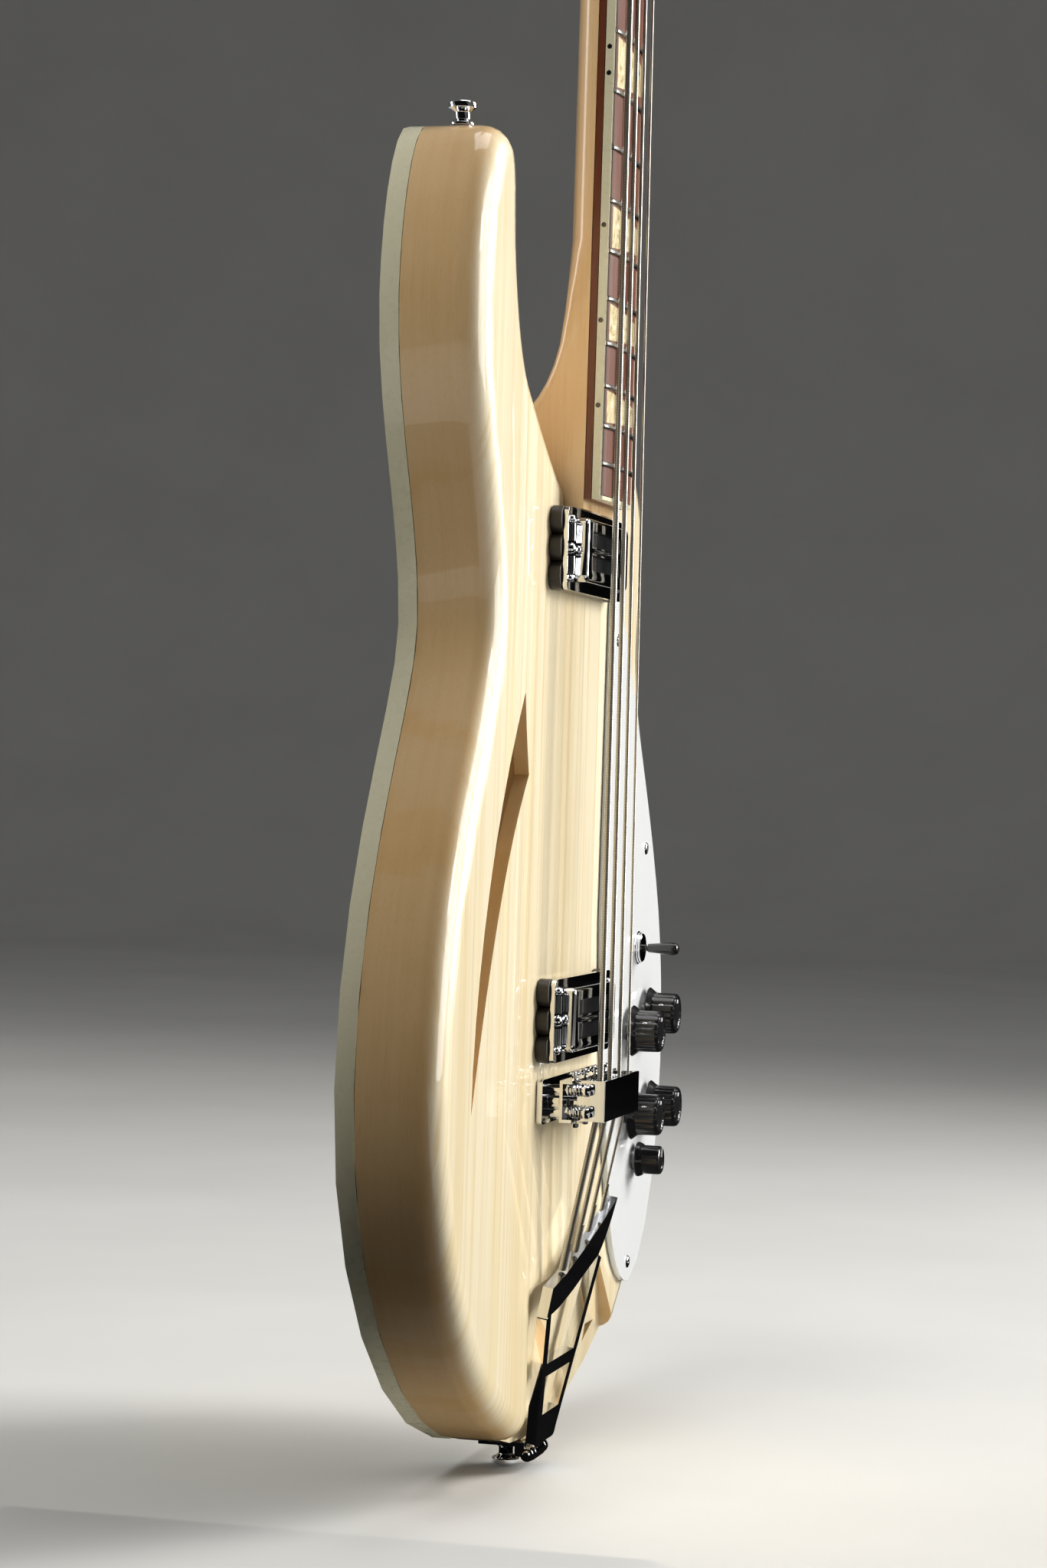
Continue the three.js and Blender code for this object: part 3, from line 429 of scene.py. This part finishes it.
def inset(outline, distance):
    """Moves a closed outline's points inwards, whichever way round it runs."""
    area = 0.0
    for (x0, z0), (x1, z1) in zip(outline, outline[1:] + outline[:1]):
        area += x0 * z1 - x1 * z0
    side = 1 if area > 0 else -1
    moved = []
    count = len(outline)
    for i, (x, z) in enumerate(outline):
        a = Vector(outline[i]) - Vector(outline[i - 1])
        b = Vector(outline[(i + 1) % count]) - Vector(outline[i])
        a = a.normalized() if a.length > 1e-9 else b.normalized()
        b = b.normalized() if b.length > 1e-9 else a
        normal = Vector((-(a.y + b.y), a.x + b.x))
        normal = normal.normalized() if normal.length > 1e-9 else Vector((-a.y, a.x))
        stretch = 1 / max(0.4, normal.dot(Vector((-a.y, a.x))))
        reach = side * distance * stretch
        moved.append((x + normal.x * reach, z + normal.y * reach))
    return moved


WELD_DISTANCE = 0.000002


def add_bevel(obj, angle, bevel):
    mod = obj.modifiers.new("edge", "BEVEL")
    mod.width = bevel / 1000
    mod.segments = 3
    mod.limit_method = "ANGLE"
    mod.angle_limit = math.radians(angle)


def add_even_normals(obj):
    mod = obj.modifiers.new("weighted", "WEIGHTED_NORMAL")
    mod.keep_sharp = True
    mod.mode = "FACE_AREA"
    mod.weight = 50


def soften(obj, angle):
    """Smooth shading that keeps creases."""
    obj.data.shade_smooth()
    obj.data.set_sharp_from_angle(angle=math.radians(angle))
    add_even_normals(obj)


def dress(node, material, angle=35, bevel=0.0):
    """Gives a CAD node its finished material, joins its facets and softens its edges."""
    obj = nodes[node]
    obj.data.materials.clear()
    obj.data.materials.append(material)
    obj.data.shade_smooth()
    weld = obj.modifiers.new("weld", "WELD")
    weld.merge_threshold = WELD_DISTANCE
    if bevel:
        add_bevel(obj, angle, bevel)
    crease = obj.modifiers.new("crease", "EDGE_SPLIT")
    crease.split_angle = math.radians(angle)
    crease.use_edge_sharp = False
    add_even_normals(obj)


# ---------------------------------------------------------------- camera, lights and stage

# Fitted to the frets, the body's outline and the fittings as the photograph shows them.
CAMERA_TURN = math.radians(14.59)
CAMERA_ROLL = math.radians(1.63)
CAMERA_DIP = 0.0007
CAMERA_LENS = 82.6
CAMERA_PLACE = (-1.4883, TOP_Y - 0.3658, SADDLE_Z + 0.1323)


def add_camera():
    data = bpy.data.cameras.new("camera")
    data.sensor_fit = "VERTICAL"
    data.sensor_height = 36.0
    data.lens = CAMERA_LENS
    data.clip_start = 0.02
    camera = add_object("camera", data)
    forward = Vector((math.cos(CAMERA_TURN), math.sin(CAMERA_TURN), -CAMERA_DIP)).normalized()
    flat = Vector((math.sin(CAMERA_TURN), -math.cos(CAMERA_TURN), 0))
    upward = flat.cross(forward)
    right = flat * math.cos(CAMERA_ROLL) + upward * math.sin(CAMERA_ROLL)
    up = right.cross(forward)
    place = Matrix((right, up, -forward)).transposed().to_4x4()
    place.translation = Vector(CAMERA_PLACE)
    camera.matrix_world = place
    bpy.context.scene.camera = camera


FLOOR_DEPTH = 0.001
FLOOR_REACH = 4.6
FLOOR_CURVE = 2.4
WALL_HEIGHT = 6.0


def add_stage():
    """A pale floor that curves up into a wall all round."""
    profile = [(1.0, 0.0), (2.6, 0.0), (FLOOR_REACH, 0.0)]
    steps = 12
    for i in range(1, steps + 1):
        a = math.pi / 2 * i / steps
        profile.append((FLOOR_REACH + FLOOR_CURVE * math.sin(a), FLOOR_CURVE - FLOOR_CURVE * math.cos(a)))
    profile.append((FLOOR_REACH + FLOOR_CURVE, WALL_HEIGHT))
    mesh = bpy.data.meshes.new("floor")
    sides = 96
    verts = [(0.0, 0.0, -FLOOR_DEPTH)]
    faces = []
    for radius, height in profile:
        verts += [(radius * math.cos(a), radius * math.sin(a), height - FLOOR_DEPTH)
                  for a in angles(sides)]
    for i in range(sides):
        j = (i + 1) % sides
        faces.append((0, 1 + i, 1 + j))
        for r in range(len(profile) - 1):
            faces.append((1 + r * sides + i, 1 + (r + 1) * sides + i,
                          1 + (r + 1) * sides + j, 1 + r * sides + j))
    mesh.from_pydata(verts, [], faces)
    mesh.shade_smooth()
    mat, tree, bsdf = new_material("floor_paint", (0.60, 0.60, 0.59), 0.8, specular=0.0)
    paint(tree, bsdf, noise(tree, (3, 3, 3), 3), [(0.3, (0.58, 0.58, 0.57)), (0.7, (0.62, 0.62, 0.61))])
    mesh.materials.append(mat)
    add_object("floor", mesh)


def add_flag(name, corners, blocks_bounce=False):
    """A dark card out of view: it darkens the chrome's reflections, or keeps bounced light off."""
    mesh = bpy.data.meshes.new(name)
    mesh.from_pydata(corners, [], [(0, 1, 2, 3)])
    mat, tree, bsdf = new_material(name + "_cloth", (0.004, 0.004, 0.0045), 0.9, specular=0.0)
    paint(tree, bsdf, noise(tree, (9, 9, 9), 3),
          [(0.3, (0.003, 0.003, 0.0035)), (0.7, (0.006, 0.006, 0.0065))])
    mesh.materials.append(mat)
    obj = add_object(name, mesh)
    obj.visible_shadow = False
    obj.visible_diffuse = blocks_bounce
    obj.visible_camera = False


def upright(x0, y0, x1, y1, z0, z1):
    return [(x0, y0, z0), (x1, y1, z0), (x1, y1, z1), (x0, y0, z1)]


def level(x0, x1, y0, y1, z):
    return [(x0, y0, z), (x1, y0, z), (x1, y1, z), (x0, y1, z)]


def add_flags():
    add_flag("far_card", upright(2.7, 0.2, 2.7, -1.5, -0.2, 2.0))
    add_flag("floor_card", level(-0.25, 2.7, 0.2, -1.5, 0.002))
    add_flag("near_card", upright(-1.9, -2.2, -1.9, 2.2, 0.0, 2.4), True)
    slanted = [(-0.16, -0.10, 0.002), (-0.16, 0.16, 0.002), (-0.36, 0.16, 0.26), (-0.36, -0.10, 0.26)]
    add_flag("low_card", slanted, True)


def add_light(name, at, target, width, height, power, color=(1, 1, 1), diffuse=True, glossy=True,
              spread=180, only_on=()):
    data = bpy.data.lights.new(name, "AREA")
    data.shape = "RECTANGLE"
    data.size = width
    data.size_y = height
    data.energy = power
    data.color = color
    data.spread = math.radians(spread)
    light = add_object(name, data)
    light.visible_camera = False
    light.visible_diffuse = diffuse
    light.visible_glossy = glossy
    if only_on:
        group = bpy.data.collections.new(name + "_receivers")
        for node in only_on:
            group.objects.link(nodes[node])
        light.light_linking.receiver_collection = group
    light.location = at
    light.rotation_euler = (Vector(target) - Vector(at)).to_track_quat("-Z", "Y").to_euler()


WARM_KEY = (1.0, 0.98, 0.94)
WARM_SIDE = (1.0, 0.97, 0.92)


def add_lighting():
    add_light("key", (1.5, -2.1, 1.3), (0, 0, 0.6), 1.1, 2.0, 54, WARM_KEY, spread=100)
    add_light("top", (0.2, -0.4, 3.2), (0, 0, 0.3), 1.6, 1.6, 22)
    add_light("side", (-1.5, 0.3, 2.4), (-0.1, 0, 0.55), 0.9, 0.9, 24, WARM_SIDE, glossy=False)
    add_light("back_edge", (-0.5, 2.8, 1.0), (0, 0, 0.4), 0.8, 1.6, 16)
    add_light("sheen", (-0.15, -2.3, 1.0), (-0.15, 0, 1.0), 1.1, 2.0, 36, diffuse=False,
              only_on=("body_shell", "back_panel", "neck"))
    add_light("sparkle", (-0.7, -2.6, 1.6), (0, 0, 0.4), 0.5, 0.5, 6, diffuse=False)
    world_data = bpy.data.worlds.new("soft")
    world_data.use_nodes = True
    background = world_data.node_tree.nodes["Background"]
    background.inputs["Color"].default_value = (1.0, 1.0, 1.0, 1)
    background.inputs["Strength"].default_value = 0.12
    bpy.context.scene.world = world_data
    bpy.context.scene.view_settings.view_transform = "Standard"


# ---------------------------------------------------------------- the CAD nodes' finishes

STRINGS = "eadg"
PICKUPS = ("neck_pickup", "bridge_pickup")
LARGE_KNOBS = ("neck_volume", "neck_tone", "bridge_volume", "bridge_tone")


def dress_nodes():
    dress("body_shell", MAPLE_TOP, 32)
    dress("back_panel", MAPLE_TOP, 32)
    dress("back_binding", IVORY, 32, 0.5)
    dress("pickguard", WHITE, 40, 0.5)
    dress("neck", MAPLE_NECK, 38)
    dress("fretboard", REDWOOD, 30)
    dress("neck_binding", IVORY, 30, 0.2)
    dress("nut", BONE, 30, 0.25)
    dress("truss_rod", STEEL, 35)
    dress("truss_cover", WHITE, 35, 0.4)
    for node in ("bridge_base", "bridge_carriage", "bridge_cover", "tailpiece_bracket", "jack_plate"):
        dress(node, CHROME, 35, 0.3)
    dress("tailpiece", CHROME, 35, 0.5)
    dress("jack_socket", CHROME, 35, 0.2)
    for name in STRINGS:
        dress("saddle_" + name, CHROME, 30, 0.25)
        dress("tuner_" + name + "_plate", CHROME, 35, 0.3)
        dress("tuner_" + name + "_post", CHROME, 35, 0.2)
        dress("tuner_" + name + "_key", CHROME, 35, 0.5)
    for pickup in PICKUPS:
        dress(pickup + "_pad", RUBBER, 50, 0.5)
        dress(pickup + "_frame", CHROME, 35, 0.8)
        dress(pickup + "_cover", CHROME, 50, 0.3)
        dress(pickup + "_coil", BLACK, 35, 0.3)
    for knob in (*LARGE_KNOBS, "mixer"):
        dress(knob + "_pot", STEEL, 35, 0.2)
        dress(knob + "_knob", BLACK, 40, 0.2)
    dress("switch_body", CHROME, 35, 0.2)
    dress("switch_lever", BLACK, 40)
    dress("horn_strap_button", CHROME, 35, 0.2)
    dress("end_strap_button", CHROME, 35, 0.2)
    for name in STRINGS:
        dress("string_" + name, STRING_STEEL, 60)


# ---------------------------------------------------------------- neck details

FRETS = 20
FRET_WIDTH = 2.5
FRET_HEIGHT = 1.05
FRET_INSET = 0.7
FRET_END = 1.4  # the length over which a fret's end slopes down
BINDING_WIDTH = 1.7
INLAY_MARGIN = 3.4
INLAY_RISE = 0.06
SUNK = 0.5  # how far frets and inlays reach into the board
DOUBLE_DOT = 12
DOT_FRETS = (3, 5, 7, 9, 12, 15, 17, 19)


def add_frets():
    build = Builder()
    for number in range(1, FRETS + 1):
        z = fret_z(number)
        half = board_half(z) - FRET_INSET
        rings = []
        steps = 14
        for i in range(steps + 1):
            x = -half + 2 * half * i / steps
            drop = 0.75 * max(0.0, (abs(x) - half + FRET_END) / FRET_END) ** 2
            ring = []
            for a in (math.pi * k / 8 for k in range(9)):
                rise = crown(x) - 0.02 + (FRET_HEIGHT - drop) * math.sin(a) ** 0.8
                ring.append((x, rise, z - FRET_WIDTH / 2 * math.cos(a)))
            ring.append((x, crown(x) - SUNK, z + FRET_WIDTH * 0.3))
            ring.append((x, crown(x) - SUNK, z - FRET_WIDTH * 0.3))
            rings.append(ring)
        build.rings(rings)
    build.make("frets", NICKEL, angle=50)


def add_inlays():
    """Trapezoid markers, wide at the bass side, laid just proud of the crowned board."""
    build = Builder()
    for number in DOT_FRETS:
        low, high = fret_z(number), fret_z(number - 1)
        middle, room = (low + high) / 2, (high - low) - FRET_WIDTH
        half = board_half(middle) - BINDING_WIDTH - INLAY_MARGIN
        steps = 12
        rings = []
        for i in range(steps + 1):
            x = -half + 2 * half * i / steps
            reach = room * (0.47 - 0.17 * i / steps)
            top = crown(x) + INLAY_RISE
            rings.append([(x, top, middle - reach), (x, top, middle + reach),
                          (x, top - SUNK, middle + reach), (x, top - SUNK, middle - reach)])
        build.rings(rings)
    build.make("inlays", PEARL, angle=30)


def add_side_dots():
    """Black dots in the binding's bass edge, two of them at the octave."""
    build = Builder()
    dot = [(1.05, -0.4), (1.05, 0.05), (0.8, 0.08)]
    for number in DOT_FRETS:
        low, high = fret_z(number), fret_z(number - 1)
        places = [(low + high) / 2]
        if number == DOUBLE_DOT:
            places = [low + 0.28 * (high - low), low + 0.72 * (high - low)]
        for z in places:
            half = board_half(z)
            build.turned(dot, (-half, crown(half) - 2.0, z), (-1, 0, 0), 20)
    build.make("side_dots", BLACK)


# ---------------------------------------------------------------- strings

STRING_RADIUS = {"e": 1.33, "a": 1.08, "d": 0.83, "g": 0.57}
STRING_RISE = 21.9  # at the saddles
PULL_SLOPE = 0.2  # how steeply the strings climb from the tailpiece to the saddles
WRAP_THICKNESS = 0.28


def add_string_ends():
    """The wrapped lengths of the strings just above the tailpiece."""
    build = Builder()
    for name in STRINGS:
        x = local_centre("saddle_" + name)[0]
        z = local(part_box("string_" + name)[0])[2]
        rise = STRING_RISE + (z + 2) * PULL_SLOPE
        points = [(x, rise + t * PULL_SLOPE, z + t) for t in (0.6, 4, 8, 12)]
        build.tube(points, STRING_RADIUS[name] + WRAP_THICKNESS, 14)
    build.make("string_ends", STRING_STEEL, angle=50)


# ---------------------------------------------------------------- screws on plates

FRONT = (0, 1, 0)  # directions of screws and knobs, as (x, rise, z)
BACK = (0, -1, 0)
TREBLE = (1, 0, 0)
GUARD_SCREWS = ((134, 103), (119, -86), (66, 196), (66, 20), (168, 30))
TRUSS_SCREWS = ((-5.6, -13), (5.6, -13), (0, 13))
JACK_SCREWS = (-15.5, 15.5)
TUNER_SCREWS = ((-10.2, 14), (10.2, 14), (-10.2, -14), (10.2, -14))
TUNER_PLATE_RISE = -13.3  # the tuner plates' outer faces, without their worm ears


def add_screws():
    chrome = Builder()
    guard_top = rise_of("pickguard", 0)
    for x, z in GUARD_SCREWS:
        chrome.screw((x, guard_top, z), FRONT, 2.9, 1.0)
    cover_top = rise_of("truss_cover", 0)
    cover_z = local_centre("truss_cover")[2]
    for x, dz in TRUSS_SCREWS:
        chrome.screw((x, cover_top, cover_z + dz), FRONT, 1.9, 0.7)
    plate_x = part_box("jack_plate")[1][0] * 1000
    _, rise, z = local_centre("jack_plate")
    for dz in JACK_SCREWS:
        chrome.screw((plate_x, rise, z + dz), TREBLE, 2.4, 0.9)
    for name in STRINGS:
        x, _, z = local_centre("tuner_" + name + "_plate")
        for dx, dz in TUNER_SCREWS:
            chrome.screw((x + dx, TUNER_PLATE_RISE, z + dz), BACK, 1.9, 0.8)
    chrome.make("plate_screws", SOFT_CHROME, angle=40)


def add_pickup_details(name):
    """Height screws and spring bars at each end, and the bar between the cover's two slots."""
    z = local_centre(name + "_frame")[2]
    plate_top = rise_of(name + "_frame", 0)
    cover_top = rise_of(name + "_cover", 0)
    bright = Builder()
    for side in (-1, 1):
        x = side * 43.8
        spring_rise = plate_top + 0.75
        bright.screw((x, plate_top, z), FRONT, 2.3, 1.9, "line")
        for turn in (-1, 1):
            bright.screw((x, plate_top, z + turn * 12.4), FRONT, 1.6, 1.3, "line")
            bright.screw((side * 40.2, plate_top, z + turn * 11.6), FRONT, 1.0, 0.9, "line")
            bright.tube([(x, spring_rise, z + turn * 3.2), (x, spring_rise, z + turn * 10.4)], 0.8, 14)
    bar = [(-29, -0.2), (-10, 0.25), (10, 0.25), (29, -0.2)]
    bright.tube([(x, cover_top + lift, z) for x, lift in bar], 1.1, 12)
    bright.make(name + "_fittings", CHROME, angle=45)


BASE_TOP = 2.7  # the bridge base's face
NUT_PROFILE = [(2.7, 0), (2.7, 1.7), (2.3, 2.0)]
SCREW_PROFILE = [(1.5, 1.9), (1.5, 8.2), (2.5, 8.3), (2.6, 9.6), (2.2, 10.6), (1.0, 10.9)]
SPRING_RADIUS = 2.15
SPRING_TURNS = 4
SPRING_LENGTH = 5.4
INTONATION_PROFILE = [(1.2, -0.4), (1.2, 1.3), (2.0, 1.4), (2.1, 2.6), (1.6, 3.1), (0.5, 3.2)]


def spring_line(x, start, z):
    steps = 14
    points = []
    for k in range(SPRING_TURNS * steps + 1):
        a = 2 * math.pi * k / steps
        rise = start + SPRING_LENGTH * k / (SPRING_TURNS * steps)
        points.append((x + SPRING_RADIUS * math.cos(a), rise, z + SPRING_RADIUS * math.sin(a)))
    return points


def add_bridge_details():
    """Height screws with nuts, springs and feet at both ends, and the intonation screws' ends."""
    bright = Builder()
    floor = rise_of("bridge_carriage", 1)
    for side in (-1, 1):
        for z in (-4.6, 4.6):
            x = side * 35.8
            at = (x, floor + 1.3, z)
            bright.turned(NUT_PROFILE, at, FRONT, 6)
            bright.turned(SCREW_PROFILE, at, FRONT, 24)
            bright.tube(spring_line(x, floor + 3.6, z), 0.36, 8)
            bright.turned([(2.2, 0), (2.2, floor - BASE_TOP - 0.2)], (x, BASE_TOP, z), FRONT, 20)
    for name in STRINGS:
        x = local_centre("saddle_" + name)[0]
        rise = floor + 3.0
        for direction in (-1, 1):
            bright.turned(INTONATION_PROFILE, (x, rise, direction * 8.7), (0, 0, direction), 20)
        bright.tube([(x, rise, -8.0), (x, rise, -7.5)], 1.2, 12)
    bright.make("bridge_screws", CHROME, angle=40)


# ---------------------------------------------------------------- knobs and switch

KNOB_BASE = 4.9
KNOB_SIDES = 120
FLUTES = 12
FLUTE_DEPTH = 0.42
# Each profile is (radius, rise) pairs: first from the knob's base, then from its top.
LARGE_SKIRT = [(11.4, 0), (11.6, 0.5), (11.3, 1.0), (10.0, 2.6), (9.4, 3.8)]
LARGE_CAP = [(9.25, -1.6), (9.0, -0.6), (8.4, 0), (7.2, -0.05), (6.9, -0.4), (0.6, -0.45)]
SMALL_SKIRT = [(7.9, 0), (8.0, 0.9), (7.2, 2.6), (6.6, 3.4)]
SMALL_CAP = [(6.5, -1.2), (6.2, -0.4), (5.5, 0), (4.6, -0.05), (4.4, -0.35), (0.6, -0.4)]


def add_knob(node, body, small):
    """A moulded knob with a flared skirt, grip flutes, a white mark and a set screw."""
    x, _, z = local_centre(node)
    top = rise_of(node, 0)
    build = Builder()
    rings = []
    skirt, cap = (SMALL_SKIRT, SMALL_CAP) if small else (LARGE_SKIRT, LARGE_CAP)
    profile = [(radius, KNOB_BASE + lift) for radius, lift in skirt]
    profile += [(radius, top + lift) for radius, lift in cap]
    for radius, rise in profile:
        ring = []
        fluted = (not small) and KNOB_BASE + 2.8 < rise < top - 0.3
        for a in angles(KNOB_SIDES):
            dip = FLUTE_DEPTH * max(0.0, math.cos(FLUTES * a)) ** 3 if fluted else 0.0
            ring.append((x + (radius - dip) * math.cos(a), rise, z + (radius - dip) * math.sin(a)))
        rings.append(ring)
    build.rings(rings)
    knob = build.make(node + "_moulding", BLACK, body, 38)
    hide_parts(node)
    marks = Builder()
    if small:
        line = [(x - 0.5, z + 1.5), (x + 0.5, z + 1.5), (x + 0.5, z + 6.0), (x - 0.5, z + 6.0)]
        marks.slab(line, top - 0.6, top, 0.05)
    else:
        marks.turned([(0.95, 0), (0.95, 0.5), (0.7, 0.62)], (x, top - 0.55, z + 5.6), FRONT, 20)
    marks.make(node + "_mark", WHITE, body)
    screw = Builder()
    reach = 6.2 if small else 9.0
    direction = Vector((-0.93, 0, 0.36)).normalized()
    at = Vector((x, KNOB_BASE + 0.55 * (top - KNOB_BASE), z)) + direction * reach
    screw.screw(at, direction, 1.5, 0.25, "line")
    screw.make(node + "_set_screw", SOFT_CHROME, body)


def add_switch():
    """The washer and the round nut that hold the switch."""
    x, _, z = local_centre("switch_lever")
    at = (x, rise_of("pickguard", 0), z)
    washer = Builder()
    washer.turned([(7.6, 0), (7.6, 0.5), (7.2, 0.7), (6.2, 0.7)], at, FRONT, 40)
    washer.turned([(6.3, 0.6), (6.6, 0.9), (6.6, 2.4), (6.2, 2.8), (4.1, 2.8)], at, FRONT, 48)
    washer.make("switch_nut", CHROME, angle=30)


add_camera()
add_stage()
add_flags()
add_lighting()
dress_nodes()
add_frets()
add_inlays()
add_side_dots()
add_string_ends()
add_screws()
for pickup in PICKUPS:
    add_pickup_details(pickup)
add_bridge_details()
add_switch()
for knob in LARGE_KNOBS:
    add_knob(knob + "_knob", knob, False)
add_knob("mixer_knob", "mixer", True)
